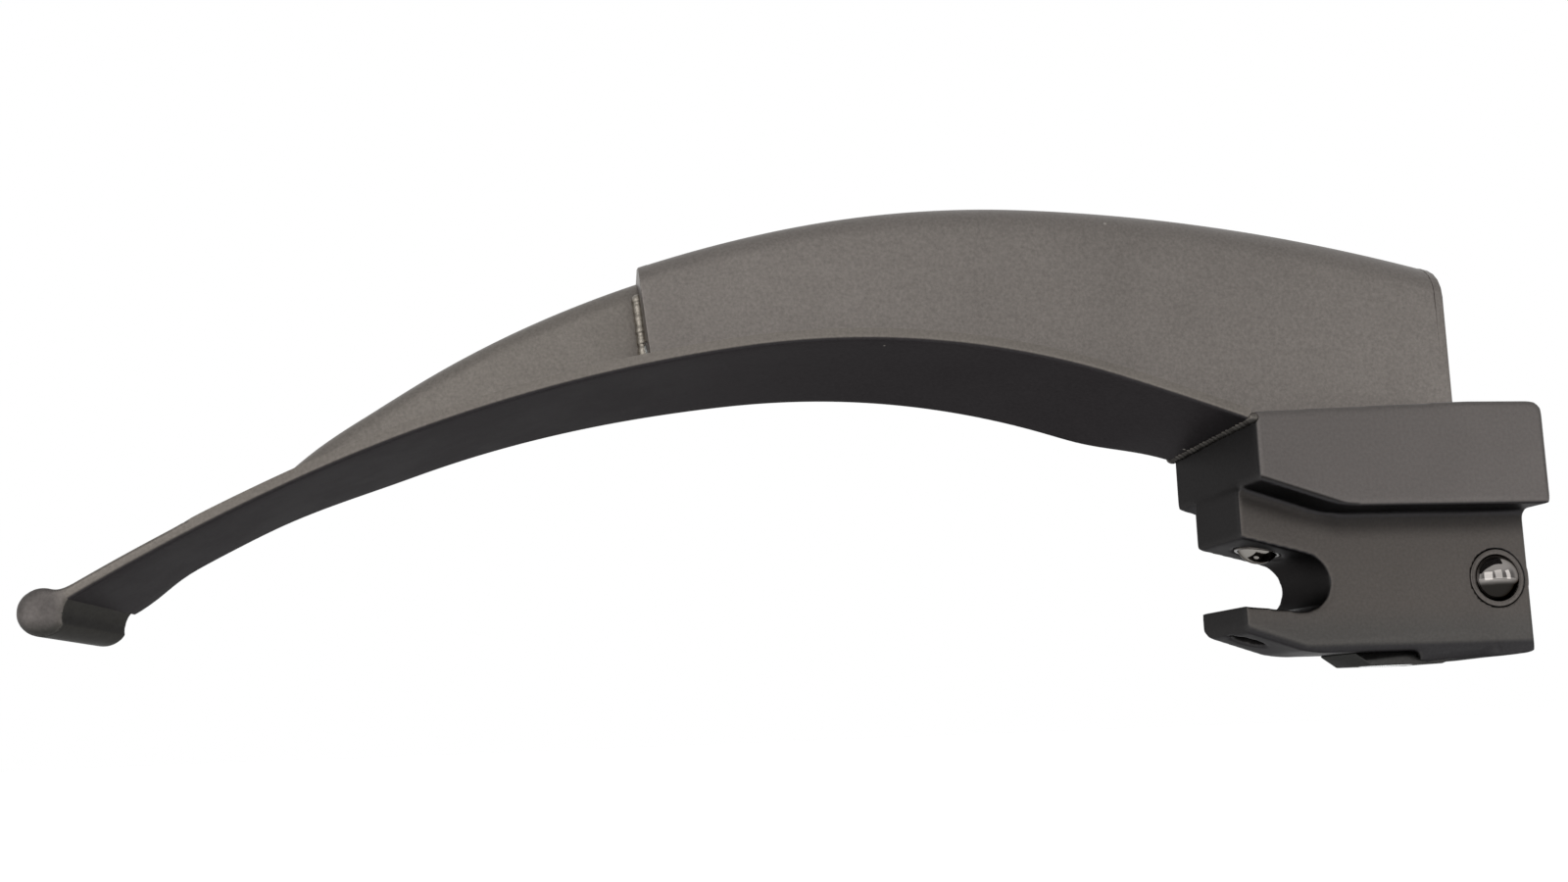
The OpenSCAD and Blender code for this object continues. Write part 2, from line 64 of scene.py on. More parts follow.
def feed(tree, node, **sources):
    """Gives sockets what they take: a hex colour, or a node or socket to link. A key i6 means the seventh socket."""
    for key, source in sources.items():
        numbered = key[0] == "i" and key[1:].isdigit()
        socket = node.inputs[int(key[1:]) if numbered else key.replace("_", " ")]
        if isinstance(source, str):
            socket.default_value = linear(source)
        elif isinstance(source, bpy.types.Node):
            tree.links.new(next(out for out in source.outputs if out.enabled), socket)
        else:
            tree.links.new(source, socket)


def add(tree, kind, settings=None, **sources):
    """Adds a node. Settings name its properties or its sockets' constants, and sources feed its sockets."""
    node = tree.nodes.new(kind)
    for key, value in (settings or {}).items():
        if isinstance(key, str) and hasattr(node, key):
            setattr(node, key, value)
        else:
            node.inputs[key].default_value = value
    feed(tree, node, **sources)
    return node


# ---------- Camera ----------
view = bpy.data.cameras.new("view")
view.lens = 30.375
view.shift_y = 0.08125
view.clip_start = 0.005
camera = bpy.data.objects.new("view", view)
camera.matrix_world = Matrix((
    (0.99099, 0.02063, -0.13237, -0.06178),
    (-0.12911, -0.11671, -0.98474, -0.1154),
    (-0.03576, 0.99295, -0.11299, -0.01051),
    (0, 0, 0, 1)))
bpy.context.scene.collection.objects.link(camera)
bpy.context.scene.camera = camera


# ---------- Materials ----------
# Real sizes of the patterns
CLOUD = 7 * MM
SPECK_GRID = 5 * MM
BELT_LINE = 0.35 * MM
BELT_STRETCH = 22
NOISE_ROUGH = 0.55
# The real grit is about 0.1 mm, too fine to show, so the grain is drawn 0.28 mm wide
GRAIN = 0.28 * MM
BELT_TONE = 0.03
# A specular tint that stops surfaces facing down from brightening at a flat angle: painted shade, given to the shaded
# copies of the steels
SHADED_GLANCE = "b0b0b0"
# The hook ball and its spring lean forward by this much
HOOK_TILT = math.radians(11)
HOOK_AXIS = Vector((math.sin(HOOK_TILT), 0, math.cos(HOOK_TILT)))


def start(name, constants):
    """A material with its shader's constants set on the sockets, and the coordinates it reads."""
    material = bpy.data.materials.new(name)
    material.use_nodes = True
    tree = material.node_tree
    shader = tree.nodes["Principled BSDF"]
    for key, value in constants.items():
        shader.inputs[key].default_value = value
    return material, tree, shader, add(tree, "ShaderNodeTexCoord")


def painted(tree, colour, layers):
    """Lays tones over a colour. Each comes in, up to a share, as its measure goes from one value to another."""
    for measure, begins, full, share, tone in layers:
        mask = add(tree, RANGE, {**SMOOTH, 1: begins, 2: full, 4: share}, Value=measure)
        colour = add(tree, MIX, COLOUR, i0=mask, i6=colour, i7=tone)
    return colour


def satin_steel(name, face, under, roughness, mottle=0.10, grain_um=5.0, grain_tone=0.30,
                turn=(-0.25, -0.7), glance="ffffff", extra=None):
    """Stainless steel, ground and then glass-bead blasted: a soft grey that hardly mirrors. The blasting
    leaves faint clouds and a fine grain, the belt before it leaves weak streaks along the blade, and
    surfaces that face down are painted dark, as shade."""
    material, tree, shader, coords = start(name, {"Metallic": 1.0, "Specular Tint": linear(glance)})
    place = coords.outputs["Object"]
    clouds = add(tree, NOISE, {"Scale": 1 / CLOUD, "Detail": 4, "Roughness": NOISE_ROUGH}, Vector=place)
    # A pattern finer than a millimetre is scaled by a mapping, since the noise's own scale stops at 1000
    fine = add(tree, MAPPING, {"Scale": [1 / GRAIN] * 3}, Vector=place)
    grain = add(tree, NOISE, {"Scale": 1.0, "Detail": 2, "Roughness": NOISE_ROUGH}, Vector=fine)
    belt = add(tree, MAPPING, {"Scale": (1 / (BELT_LINE * BELT_STRETCH), 1 / BELT_LINE, 1 / BELT_LINE)}, Vector=place)
    streaks = add(tree, NOISE, {"Scale": 1.0, "Detail": 2, "Roughness": NOISE_ROUGH}, Vector=belt)
    normal = add(tree, XYZ, None, Vector=coords.outputs["Normal"])
    # Painted shade: faces that look down turn to the under tone
    colour = painted(tree, face, [(normal.outputs["Z"], *turn, 1, under)])
    if extra:
        colour = extra(tree, coords, normal, colour)
    # Each pattern lightens and darkens the steel by its share, round the plain tone
    plain = 1 - mottle - BELT_TONE - grain_tone
    tone = add(tree, MATH, {"operation": "MULTIPLY_ADD", 1: 2 * mottle, 2: plain}, i0=clouds)
    for pattern, share in ((streaks, BELT_TONE), (grain, grain_tone)):
        tone = add(tree, MATH, {"operation": "MULTIPLY_ADD", 1: 2 * share}, i0=pattern, i2=tone)
    colour = add(tree, MIX, {**COLOUR, "blend_type": "MULTIPLY", 0: 1.0}, i6=colour, i7=tone)
    # A few nicks and specks, a quarter of a millimetre across
    specks = add(tree, VORONOI, {"Scale": 1 / SPECK_GRID}, Vector=place)
    colour = painted(tree, colour, [(specks, 0.04, 0.02, 0.6, "a39e97")])
    gloss = add(tree, RANGE, {**SMOOTH, 1: 0.3, 2: 0.7, 3: roughness[0], 4: roughness[1]}, Value=clouds)
    bump = add(tree, "ShaderNodeBump", {"Strength": 1.0, "Distance": grain_um * 1e-6}, Height=grain)
    feed(tree, shader, Base_Color=colour, Roughness=gloss, Normal=bump)
    return material


# Where the tones of the block change, read off the block's own drawing
LEDGE_SLOPE = math.tan(math.radians(18))
LEDGE_BEND_X = 3.6 * MM
LEDGE_Z = 6.35 * MM
HOOK_SEAT_R = 2.6 * MM
JAW_HOLE_R = 1.5 * MM
JAW_HOLE_TOP = -2.6 * MM
SOFT_LINE = 0.1 * MM


def block_tones(tree, coords, normal, colour):
    """Painted shade on the block: the tang below the ledge is darker than the block, and so are the faces towards the
    tip, under the blade's arch, the hole through the lower jaw and the hook seat.
    """
    place = add(tree, XYZ, None, Vector=coords.outputs["Object"])
    x, z = place.outputs["X"], place.outputs["Z"]
    # Height measured from the ledge, which rises towards the front
    ahead = add(tree, MATH, {"operation": "SUBTRACT", 0: LEDGE_BEND_X}, i1=x)
    ahead = add(tree, MATH, {"operation": "MAXIMUM", 1: 0.0}, i0=ahead)
    height = add(tree, MATH, {"operation": "MULTIPLY_ADD", 1: -LEDGE_SLOPE}, i0=ahead, i2=z)
    # Painted shade down the tang, darker towards the bottom: over its lower jaw and its foot, deepest right under the
    # ledge, and on its undersides
    tang = painted(tree, "4e4a47", [
        (z, -2.0 * MM, -5.0 * MM, 1, "494745"),
        (z, -5.5 * MM, -6.0 * MM, 1, "302f30"),
        (height, 3.4 * MM, 6.0 * MM, 0.9, "1d1c1c"),
        (normal.outputs["Z"], -0.25, -0.7, 1, "302f30")])
    # Painted shade: near black inside the hole through the lower jaw, which is drilled and where little light gets in
    ball_middle = [(a + b) / 2 for a, b in zip(*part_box("hook_ball"))]
    offset = add(tree, VECTOR_MATH, {"operation": "SUBTRACT", 1: ball_middle}, i0=coords.outputs["Object"])
    offset = add(tree, VECTOR_MATH, {"operation": "CROSS_PRODUCT", 1: HOOK_AXIS}, i0=offset)
    offset = add(tree, VECTOR_MATH, {"operation": "LENGTH"}, i0=offset)
    below_top = add(tree, MATH, {"operation": "ADD", 1: JAW_HOLE_R - JAW_HOLE_TOP}, i0=z)
    from_hole = add(tree, MATH, {"operation": "MAXIMUM"}, i0=offset, i1=below_top)
    # Painted shade inside the hook seat, which is reamed round the pivot axis
    across = add(tree, "ShaderNodeCombineXYZ", None, X=x, Z=z)
    from_pivot = add(tree, VECTOR_MATH, {"operation": "LENGTH"}, i0=across)
    # The faces towards the tip, under the blade's arch, get painted shade as well
    return painted(tree, colour, [
        (height, LEDGE_Z, LEDGE_Z - 2.5 * SOFT_LINE, 1, tang),
        (normal.outputs["X"], -0.4, -0.8, 1, "353434"),
        (from_hole, JAW_HOLE_R + SOFT_LINE, JAW_HOLE_R, 1, "121111"),
        (from_pivot, HOOK_SEAT_R + 0.8 * SOFT_LINE, HOOK_SEAT_R + 0.2 * SOFT_LINE, 1, "262525")])


def tip_tones(tree, coords, normal, colour):
    """The bar is a little darker than the sheet that it runs into."""
    place = add(tree, XYZ, None, Vector=coords.outputs["Object"])
    bar_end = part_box("tip_bead")[0][0]
    return painted(tree, colour, [(place.outputs["X"], bar_end + 2.6 * MM, bar_end + 4.6 * MM, 1, "67625d")])


# Sheet, belted along its length and blasted: an even warm grey, with its underside painted almost black as shade. Its
# copy for the faces looking down also has its glint at a flat angle dimmed, as painted shade
BLADE = satin_steel("bead_blasted_blade_steel", "69645f", "2f2d2e", (0.38, 0.46))
BLADE_UNDER = satin_steel("underside_steel_painted_shade", "69645f", "2f2d2e", (0.38, 0.46), glance=SHADED_GLANCE)
# The upright web catches most light, so it is drawn a little lighter than the sheet, as painted light; the grain
# shows best on it
WEB = satin_steel("bead_blasted_web_steel", "6f6a65", "2f2d2e", (0.38, 0.46))
# The bar is drawn darker than the sheet, with a softer sheen over its round end
TIP = satin_steel("bead_blasted_tip_steel", "565250", "353432", (0.42, 0.52), turn=(-0.1, -0.55), extra=tip_tones)
# Its copy for the faces under and behind the bar is much darker and dims its glint at a flat angle: painted shade
TIP_UNDER = satin_steel("tip_underside_steel_painted_shade", "373635", "393836", (0.42, 0.52), turn=(0.05, -0.35),
                        glance=SHADED_GLANCE)
# Pressed cover, blasted longer than the sheet: flatter and a little rougher
COVER = satin_steel("bead_blasted_cover_steel", "706b67", "2f2d2e", (0.40, 0.50), mottle=0.09)
# Solid block, milled and then lightly blasted: closer-grained than the sheet, and darker, which in part is painted
# shade lower down the blade
BLOCK = satin_steel("milled_and_blasted_block_steel", "5c5856", "2b2a2a", (0.38, 0.48), mottle=0.07,
                    grain_tone=0.18, extra=block_tones)
# Its copy for the faces looking down or towards the tip dims its glint at a flat angle: painted shade
BLOCK_SHADED = satin_steel("block_steel_painted_shade", "5f5b59", "2e2d2d", (0.38, 0.48), mottle=0.07,
                         grain_tone=0.18, glance=SHADED_GLANCE, extra=block_tones)
# Foot, sandblasted coarsely: mottled and nearly black, with its glint at a flat angle dimmed as painted shade
FOOT = satin_steel("sandblasted_foot_steel", "3b3a39", "343433", (0.45, 0.60), mottle=0.35, grain_um=14.0,
                   glance=SHADED_GLANCE)
# Weld metal, fused and only brushed: paler than the sheet, with a glint on each ripple
WELD = satin_steel("fused_weld_steel", "8a847b", "4c4946", (0.32, 0.45), mottle=0.12, grain_um=6.0)
# The weld in the corner under the blade, blasted with it: patchy, and drawn darker than the cover's weld with its
# glint at a flat angle dimmed, as painted shade
HEEL_WELD = satin_steel("weld_steel_in_painted_shade", "57534f", "3a3836", (0.36, 0.50), mottle=0.25, grain_um=6.0,
                        glance=SHADED_GLANCE)
# Turned rings, pressed in after blasting: smoother and darker than the tang round them
SLEEVE = satin_steel("turned_sleeve_steel", "524e4b", "3a3837", (0.30, 0.40), mottle=0.04, grain_um=2.0)


def chrome_ball(name, lower_shade):
    """Hardened bearing steel, lapped and chromed: a clean mirror, with a few hair scratches."""
    material, tree, shader, coords = start(name, {"Metallic": 1.0, "Specular Tint": linear("808080")})
    place = coords.outputs["Object"]
    clouds = add(tree, NOISE, {"Scale": 1 / (1.5 * MM), "Detail": 3, "Roughness": NOISE_ROUGH}, Vector=place)
    normal = add(tree, XYZ, None, Vector=coords.outputs["Normal"])
    chrome = add(tree, MIX, COLOUR, i0=clouds, i6="8b8681", i7="969290")
    # Painted shade on the lower half, standing in for a dark reflection that the room doesn't give
    chrome = painted(tree, chrome, [(normal.outputs["Z"], 0.0, -0.35, 1, lower_shade)])
    hair = 0.12 * MM
    along_hairs = add(tree, MAPPING, {"Scale": (1 / (10 * hair), 1 / hair, 1 / hair)}, Vector=place)
    hairs = add(tree, NOISE, {"Scale": 1.0, "Detail": 1, "Roughness": NOISE_ROUGH}, Vector=along_hairs)
    gloss = add(tree, RANGE, {**SMOOTH, 1: 0.4, 2: 0.75, 3: 0.03, 4: 0.12}, Value=hairs)
    feed(tree, shader, Base_Color=chrome, Roughness=gloss)
    return material


def spring_wire():
    """Drawn spring wire: bright, with streaks that the die leaves."""
    material, tree, shader, coords = start("drawn_spring_wire", {"Metallic": 1.0})
    line = 0.2 * MM
    along_wire = add(tree, MAPPING, {"Scale": (1 / line, 1 / line, 1 / (4 * line))}, Vector=coords.outputs["Object"])
    streaks = add(tree, NOISE, {"Scale": 1.0, "Detail": 2, "Roughness": NOISE_ROUGH}, Vector=along_wire)
    bright = add(tree, MIX, COLOUR, i0=streaks, i6="8d8b88", i7="a6a4a1")
    gloss = add(tree, RANGE, {**SMOOTH, 1: 0.3, 2: 0.7, 3: 0.22, 4: 0.34}, Value=streaks)
    feed(tree, shader, Base_Color=bright, Roughness=gloss)
    return material


def polished_window():
    """Optical glass, ground and polished flush with its ferrule: clear, slightly milky at a glance."""
    material, tree, shader, coords = start("polished_window_glass", {
        "Metallic": 0.0, "IOR": 1.52, "Transmission Weight": 0.55})
    clouds = add(tree, NOISE, {"Scale": 1 / (1.2 * MM), "Detail": 2, "Roughness": NOISE_ROUGH},
                 Vector=coords.outputs["Object"])
    milk = add(tree, MIX, COLOUR, i0=clouds, i6="c9cfd0", i7="d6dbdb")
    gloss = add(tree, RANGE, {**SMOOTH, 1: 0.3, 2: 0.7, 3: 0.06, 4: 0.14}, Value=clouds)
    feed(tree, shader, Base_Color=milk, Roughness=gloss)
    return material


def glass_fibres():
    """A bonded bundle of glass fibres: pale, with a fine cell at its cut end."""
    material, tree, shader, coords = start("bonded_glass_fibre", {"Metallic": 0.0, "IOR": 1.5})
    # Fibres are about 0.05 mm thick, drawn 0.15 mm so that they show
    fine = add(tree, MAPPING, {"Scale": [1 / (0.15 * MM)] * 3}, Vector=coords.outputs["Object"])
    cells = add(tree, VORONOI, {"Scale": 1.0}, Vector=fine)
    pale = add(tree, MIX, COLOUR, i0=cells, i6="d8dad2", i7="a9aca2")
    gloss = add(tree, RANGE, {**SMOOTH, 1: 0.1, 2: 0.7, 3: 0.2, 4: 0.45}, Value=cells)
    feed(tree, shader, Base_Color=pale, Roughness=gloss)
    return material


# The side balls' lower halves are painted near black, the hook ball's only a little darker: painted shade
BALL = chrome_ball("chromed_side_ball_steel", "252321")
HOOK_BALL = chrome_ball("chromed_hook_ball_steel", "7b7874")
WIRE = spring_wire()
WINDOW = polished_window()
FIBRES = glass_fibres()


# ---------- Pieces ----------
SHARP = math.radians(35)


def merged_copy(node):
    """A node's shape as a mesh of its own, with its loose triangles joined at their corners."""
    bm = bmesh.new()
    bm.from_mesh(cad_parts[node].data)
    bmesh.ops.remove_doubles(bm, verts=bm.verts, dist=0.5e-6)
    return bm


def quads(bm, crease=40):
    """Joins pairs of triangles, apart from those that meet at an edge."""
    bmesh.ops.join_triangles(bm, faces=bm.faces, angle_face_threshold=math.radians(crease),
                             angle_shape_threshold=math.radians(70))
    return bm


def rounded(bm, edges, width, segments):
    """Rounds the edges given to a width in metres."""
    bmesh.ops.bevel(bm, geom=list(edges), offset=width, offset_type="OFFSET", segments=segments, profile=0.5,
                    affect="EDGES", clamp_overlap=True, material=-1)
    return bm


def soften(bm, width, segments=2, angle=SHARP, leave=None):
    """Rounds the edges that are sharper than an angle, apart from those to leave."""
    return rounded(bm, [e for e in bm.edges if e.is_manifold and e.calc_face_angle() > angle
                        and not (leave and leave(e))], width, segments)


def halved(bm, point, normal):
    """Keeps the part that lies ahead of a plane, and closes the cut."""
    bmesh.ops.bisect_plane(bm, geom=bm.verts[:] + bm.edges[:] + bm.faces[:], dist=1e-7,
                           plane_co=point, plane_no=normal, clear_inner=True)
    bmesh.ops.holes_fill(bm, edges=[e for e in bm.edges if e.is_boundary])
    return bm


def voxel_copy(bm, voxel):
    """The same shape with an even skin, so that touching lumps run into each other."""
    rough = bpy.data.meshes.new("rough")
    bm.to_mesh(rough)
    lump = bpy.data.objects.new("rough", rough)
    bpy.context.scene.collection.objects.link(lump)
    skin = lump.modifiers.new("skin", "REMESH")
    skin.mode = "VOXEL"
    skin.voxel_size = voxel
    even = bpy.data.meshes.new_from_object(lump.evaluated_get(bpy.context.evaluated_depsgraph_get()))
    bpy.data.objects.remove(lump)
    bpy.data.meshes.remove(rough)
    out = bmesh.new()
    out.from_mesh(even)
    bpy.data.meshes.remove(even)
    return out


def finished(name, bm, material, nodes, body="blade", levels=0, shaded_copy=None, where=None):
    """Makes a piece of a mesh: smooth, in its material, riding on its body in place of its nodes."""
    mesh = bpy.data.meshes.new(name)
    bm.normal_update()
    for face in bm.faces:
        face.smooth = True
        if where:
            face.material_index = 1 if where(face.normal) else 0
    bm.to_mesh(mesh)
    bm.free()
    piece = bpy.data.objects.new(name, mesh)
    bpy.context.scene.collection.objects.link(piece)
    mesh.materials.append(material)
    # A second slot holds the copy with painted shade, for the faces that where picks
    if shaded_copy:
        mesh.materials.append(shaded_copy)
    if levels:
        finer = piece.modifiers.new("finer", "SUBSURF")
        finer.levels = levels
        finer.render_levels = levels
    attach(piece, body)
    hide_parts(*nodes)
    return piece


def creased(bm):
    """Keeps the sharp edges, so that a flush neighbour meets them without a gap."""
    crease = bm.edges.layers.float.new("crease_edge")
    for edge in bm.edges:
        if not edge.is_manifold or edge.calc_face_angle() > SHARP:
            edge[crease] = 1.0
            edge.smooth = False
    return bm


def eased(bm, rounds):
    """Takes the sharpness off a voxel skin."""
    for _ in range(rounds):
        bmesh.ops.smooth_vert(bm, verts=bm.verts, factor=0.5, use_axis_x=True, use_axis_y=True, use_axis_z=True)
    return bm


# Blade sheet: its far corner at the tip is rounded, then its rim is turned over to a full round
TIP_SLOPE = math.radians(31.7)
SHEET_T = 0.95 * MM
RIM = 0.36 * MM
CORNER_R = 1.3 * MM
# The bar of the visual model is a little thicker than the CAD's, and set a hair towards the tip
BAR_SWELL = 1.04
BAR_SHIFT = 0.05 * MM
sheet_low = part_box("spatula")[0]
bar_low, bar_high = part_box("tip_bead")
bar_r = (bar_high[2] - bar_low[2]) / 2 * BAR_SWELL
heart = Vector((bar_low[0] + bar_r - BAR_SHIFT, bar_low[1], bar_low[2] + bar_r - BAR_SHIFT))
along = Vector((math.cos(TIP_SLOPE), 0, math.sin(TIP_SLOPE)))
upward = Vector((-math.sin(TIP_SLOPE), 0, math.cos(TIP_SLOPE)))
web_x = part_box("web_flange")[0][0] + 1.5 * MM


def at_far_corner(edge):
    """The upright edge at the sheet's far corner, beside the tip."""
    first, second = (v.co for v in edge.verts)
    return (max(first.x, second.x) < sheet_low[0] + 1.0 * MM and min(first.y, second.y) > 6.0 * MM
            and abs(first.y - second.y) < 0.01 * MM)


def beside_web(edge):
    """The near rim's top edge, where the web stands on it flush: it stays sharp so that no line shows."""
    return (any(f.normal.z > 0.5 for f in edge.link_faces)
            and all(v.co.x > web_x and v.co.y < sheet_low[1] + 0.5 * MM for v in edge.verts))


blade = quads(merged_copy("spatula"))
rounded(blade, [e for e in blade.edges if at_far_corner(e)], CORNER_R, 5)
soften(blade, RIM, 4, leave=beside_web)
# The bar carries the last of the sheet, so the sheet stops inside it
halved(blade, heart + along * (bar_r + 0.35 * MM), along)
finished("blade_sheet", creased(blade), BLADE, ["spatula"], levels=1,
         shaded_copy=BLADE_UNDER, where=lambda n: n.z < -0.6)
finished("web_sheet", soften(quads(merged_copy("web_flange")), 0.2 * MM, 3), WEB, ["web_flange"],
         levels=1)

# Cover with its two plates let in flush: only the outer rims of the plates are eased
PLATE_RIM = 0.14 * MM
finished("guide_cover", creased(quads(merged_copy("light_housing"))), COVER, ["light_housing"],
         levels=1)
for node, name, side in (("exit_plate", "guide_front_plate", -1), ("heel_plate", "guide_heel_plate", 1)):
    plate = merged_copy(node)
    outward = [f for f in plate.faces if f.normal.x * side > 0.8]
    free_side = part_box(node)[1][1] - 2.0 * MM
    rim = {e for f in outward for e in f.edges
           if e.calc_face_angle() > SHARP and all(v.co.y < free_side for v in e.verts)}
    flush = finished(name, rounded(plate, rim, PLATE_RIM, 3), COVER, [node])
    flush.data.set_sharp_from_angle(angle=math.radians(40))

# Block with its tang: forged, milled and blasted, so every edge is soft
BLOCK_VOXEL = 0.25 * MM
BORE_MOUTH = (10.2 * MM, 3.8 * MM)
DAB = (2.0, 1.2, 0.35)
block_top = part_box("base_block")[1][2]
forged = merged_copy("base_block")
# A dab of braze closes the mouth of the guide's bore, which would show beside the cover
dab_place = Matrix.Translation((*BORE_MOUTH, block_top - 0.34 * MM)) @ Matrix.Diagonal((*DAB, 1))
bmesh.ops.create_icosphere(forged, subdivisions=3, radius=MM, matrix=dab_place)
forged = eased(voxel_copy(forged, BLOCK_VOXEL), 5)
# The seats of the side balls were reamed last, so their edges stay crisp: the soft skin round each
# is laid flat on the face outside the bore, and straight down the bore's wall inside
SEAT_PLAY = 0.03 * MM
REAMED_RING = 0.45 * MM
REAMED_DEPTH = 0.7 * MM
for node, side in (("near_ball_sleeve", 0), ("far_ball_sleeve", 1)):
    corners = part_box(node)
    seat_r = (corners[1][0] - corners[0][0]) / 2 + SEAT_PLAY
    seat_x = (corners[0][0] + corners[1][0]) / 2
    face_y = corners[side][1]
    for vert in forged.verts:
        off = Vector((vert.co.x - seat_x, 0, vert.co.z))
        depth = abs(face_y - vert.co.y)
        if off.length < seat_r + REAMED_RING and depth < REAMED_DEPTH:
            if depth < 0.28 * MM or off.length > seat_r + 0.1 * MM:
                vert.co.y = face_y
            wide = max(off.length, seat_r) if vert.co.y == face_y else seat_r
            vert.co.x = seat_x + off.x * wide / off.length
            vert.co.z = off.z * wide / off.length
finished("hook_on_block", forged, BLOCK, ["base_block"],
         shaded_copy=BLOCK_SHADED, where=lambda n: n.z < -0.5 or n.x < -0.6)


def spun(bm, start, centre, angle, steps=10):
    """Carries a chain of edges round an arc from its last point, and gives the new last point."""
    out = bmesh.ops.spin(bm, geom=[start], cent=centre, axis=(0, 1, 0), angle=angle, steps=steps,
                         use_duplicate=False)
    return next(g for g in out["geom_last"] if isinstance(g, bmesh.types.BMVert))


# Bar across the tip: a round that runs into the sheet through a fillet above and below
PROUD = 0.015 * MM
TOP_FILLET = 1.6 * MM
LOW_FILLET = 2.2 * MM
# The fillets run on over the sheet by this much, and sink into it a little
RUN_ON = 1.1 * MM
SINK = 0.08 * MM
under_tip = Vector((sheet_low[0] + SHEET_T * math.sin(TIP_SLOPE), bar_low[1], sheet_low[2]))
below = (heart - under_tip).dot(upward) + PROUD
above = SHEET_T - below + 2 * PROUD
top_run = math.sqrt((bar_r + TOP_FILLET) ** 2 - (above + TOP_FILLET) ** 2)
low_run = math.sqrt((bar_r + LOW_FILLET) ** 2 - (below + LOW_FILLET) ** 2)
top_turn = math.atan2(top_run, above + TOP_FILLET)
low_turn = math.atan2(low_run, below + LOW_FILLET)
bar = bmesh.new()
first = bar.verts.new(heart + along * (top_run + RUN_ON) + upward * (above - SINK))
on_top = bar.verts.new(heart + along * top_run + upward * above)
bar.edges.new((first, on_top))
at_bar = spun(bar, on_top, heart + along * top_run + upward * (above + TOP_FILLET), top_turn)
round_end = spun(bar, at_bar, heart, -(2 * math.pi - top_turn - low_turn), 40)
on_low = spun(bar, round_end, heart + along * low_run - upward * (below + LOW_FILLET), low_turn)
last = bar.verts.new(heart + along * (low_run + RUN_ON) - upward * (below - SINK))
bar.edges.new((on_low, last))
bar.edges.new((last, first))
bmesh.ops.remove_doubles(bar, verts=bar.verts, dist=1e-7)
end = bmesh.ops.contextual_create(bar, geom=bar.edges)["faces"][0]
grown = bmesh.ops.extrude_face_region(bar, geom=[end], use_keep_orig=True)["geom"]
bmesh.ops.translate(bar, verts=[g for g in grown if isinstance(g, bmesh.types.BMVert)],
                    vec=(0, bar_high[1] - bar_low[1], 0))
bmesh.ops.recalc_face_normals(bar, faces=bar.faces)
bar = eased(voxel_copy(bar, 0.13 * MM), 8)
# Both ends are ground to a dome, which fades out where the sheet runs on
DOME_R = 3.4 * MM
DOME_DEEP = 2.6 * MM
FAR_DOME = 0.5
for vert in bar.verts:
    reach = min(math.hypot(vert.co.x - heart.x, vert.co.z - heart.z), bar_r)
    inward = max(0.0, (vert.co - heart).dot(along))
    fade = max(0.0, min(1.0, 1.15 - inward / bar_r))
    depth = (DOME_R - math.sqrt(DOME_R ** 2 - reach ** 2)) * fade
    near = max(0.0, 1 - (vert.co.y - bar_low[1]) / DOME_DEEP)
    far = max(0.0, 1 - (bar_high[1] - vert.co.y) / DOME_DEEP)
    vert.co.y += depth * (near - FAR_DOME * far)
finished("tip_bar", eased(bar, 2), TIP, ["tip_bead"], shaded_copy=TIP_UNDER,
         where=lambda n: n.y > -0.45 and (n.z < -0.3 or n.x > 0.15 and n.z < 0.25))


def weld_run(name, node, ripples, radius, uneven, ends, squash, finish, rounds):
    """A fillet weld: overlapping drops along a corner, fused to one skin."""
    run = bmesh.new()
    for i in range(ripples):
        place = Vector(ends[0]).lerp(Vector(ends[1]), i / (ripples - 1))
        size = radius * (1 + uneven * math.sin(i * 2.3))
        place.z += 0.3 * uneven * radius * math.sin(i * 4.1)
        bmesh.ops.create_icosphere(run, subdivisions=3, radius=size,
                                   matrix=Matrix.Translation(place) @ Matrix.Diagonal((*squash, 1)))
    finished(name, eased(voxel_copy(run, 0.08 * MM), rounds), finish, [node])


weld_low, weld_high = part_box("housing_weld")
weld_run("cover_weld", "housing_weld", 26, 0.74 * MM, 0.10,
         ((weld_high[0] - 0.30 * MM, weld_high[1] - 0.28 * MM, weld_low[2] + 0.5 * MM),
          (weld_low[0] + 0.50 * MM, weld_high[1] - 0.28 * MM, weld_high[2] - 0.5 * MM)), (0.8, 0.9, 0.75), WELD, 2)
heel_low, heel_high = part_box("heel_weld")
weld_run("blade_weld", "heel_weld", 70, 0.52 * MM, 0.3,
         ((heel_high[0] - 0.1 * MM, heel_low[1] + 0.6 * MM, heel_high[2] - 0.5 * MM),
          (heel_high[0] - 0.1 * MM, heel_high[1] - 0.6 * MM, heel_high[2] - 0.8 * MM)), (1, 0.7, 0.8), HEEL_WELD, 9)

# Turned and polished parts: each keeps its CAD shape, with its corners eased by a width
for name, node, width, angle, finish, slot in (
        ("light_foot", "entry_ferrule", 0.12, 30, FOOT, "foot_steel"),
        ("light_collar", "exit_ferrule", 0.06, 50, SLEEVE, "sleeve_steel"),
        ("near_sleeve", "near_ball_sleeve", 0.08, 50, SLEEVE, "sleeve_steel"),
        ("far_sleeve", "far_ball_sleeve", 0.08, 50, SLEEVE, "sleeve_steel"),
        ("hook_collar", "hook_ball_collar", 0.05, 50, SLEEVE, "sleeve_steel")):
    finished(name, soften(merged_copy(node), width * MM, 2, math.radians(angle)), finish, [node])
for body, finish in (("near_ball", BALL), ("far_ball", BALL), ("hook_ball", HOOK_BALL)):
    finished("polished_" + body, quads(merged_copy(body)), finish, [body], body=body, levels=1)


def coil(name, node, axis, keep_side=0):
    """A spring, or its half on one side of the middle, as a piece with a mesh of its own."""
    wire = quads(merged_copy(node), 60)
    if keep_side:
        halved(wire, (0, 0, 0), axis * keep_side)
    piece = finished(name, wire, WIRE, [node], levels=1)
    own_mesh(piece)


